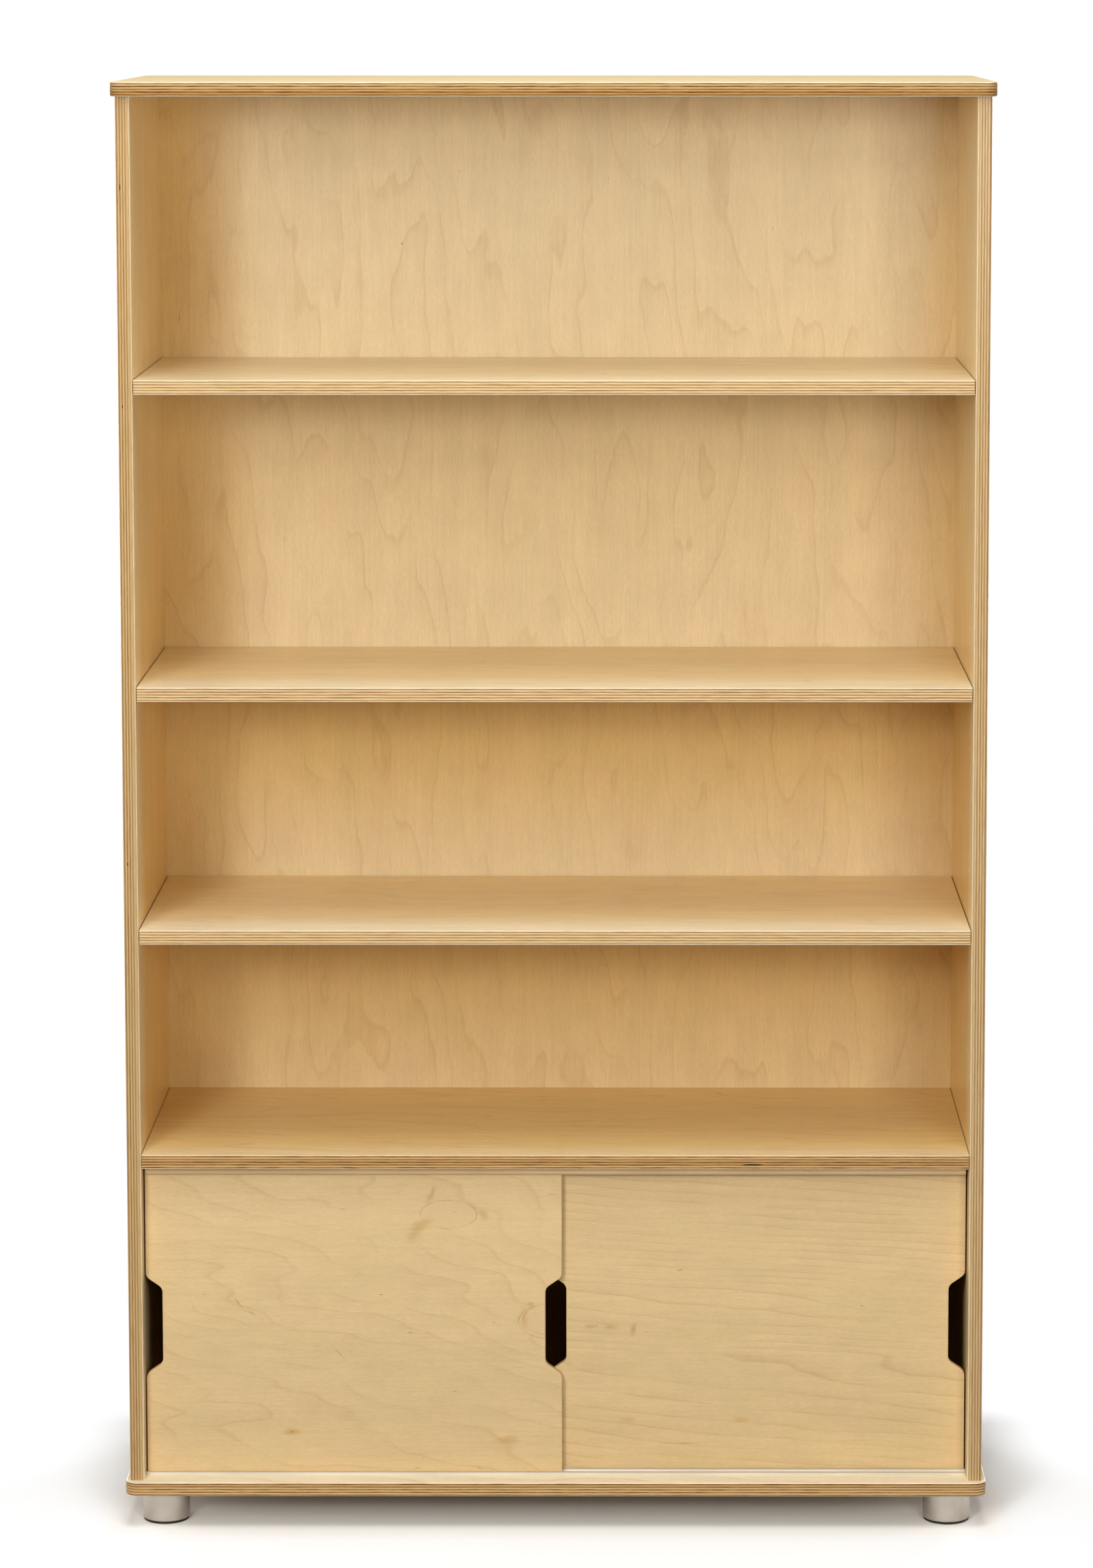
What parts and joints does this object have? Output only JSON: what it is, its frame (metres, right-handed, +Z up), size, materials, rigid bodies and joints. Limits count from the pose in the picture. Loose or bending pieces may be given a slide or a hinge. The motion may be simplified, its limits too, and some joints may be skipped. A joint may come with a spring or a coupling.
{
  "type": "bookcase with sliding cabinet doors",
  "caption": "Tall plywood bookcase: loose shelves on hidden pins over a low cabinet with bypass sliding doors, finger cut-outs in the doors, and short round metal feet.",
  "frame": {"origin": "on the floor, under the middle of the top and base panels' width and depth", "axes": "+Z up, -Y towards the open front, +X to the right seen from the front"},
  "size_m": [0.91, 0.364, 1.523],
  "materials": {
    "carcass_plywood": "satin clear-lacquered birch plywood, edges left showing the plies",
    "back_plywood": "satin clear-lacquered birch plywood, grain upright",
    "door_plywood": "satin clear-lacquered birch plywood, grain level",
    "dowel_beech": "plain fluted dowel, glued",
    "pin_steel": "nickel-plated",
    "track_plastic": "matt off-white extrusion",
    "foot_metal": "fine satin",
    "pad_rubber": "matt black",
    "screw_steel": "zinc-plated",
    "insert_brass": "plain"
  },
  "bodies": {
    "carcass": {"base_panel": "carcass_plywood", "top_panel": "carcass_plywood", "left_side_panel": "carcass_plywood", "right_side_panel": "carcass_plywood", "back_panel": "back_plywood", "cabinet_deck": "carcass_plywood", "lower_shelf": "carcass_plywood", "middle_shelf": "carcass_plywood", "upper_shelf": "carcass_plywood", "lower_shelf_pins": "pin_steel", "middle_shelf_pins": "pin_steel", "upper_shelf_pins": "pin_steel", "base_dowels": "dowel_beech", "top_dowels": "dowel_beech", "deck_dowels": "dowel_beech", "upper_door_track": "track_plastic", "lower_door_track": "track_plastic", "front_left_foot": "foot_metal", "front_right_foot": "foot_metal", "rear_left_foot": "foot_metal", "rear_right_foot": "foot_metal", "front_left_foot_pad": "pad_rubber", "front_right_foot_pad": "pad_rubber", "rear_left_foot_pad": "pad_rubber", "rear_right_foot_pad": "pad_rubber", "foot_screws": "screw_steel", "foot_inserts": "insert_brass"},
    "left_door_body": {"left_door": "door_plywood"},
    "right_door_body": {"right_door": "door_plywood"}
  },
  "joints": [
    {"name": "left_door_slide", "type": "slide", "parent": "carcass", "child": "left_door_body", "axis": [1, 0, 0], "range_m": [0, 0.427]},
    {"name": "right_door_slide", "type": "slide", "parent": "carcass", "child": "right_door_body", "axis": [1, 0, 0], "range_m": [-0.427, 0]}
  ]
}
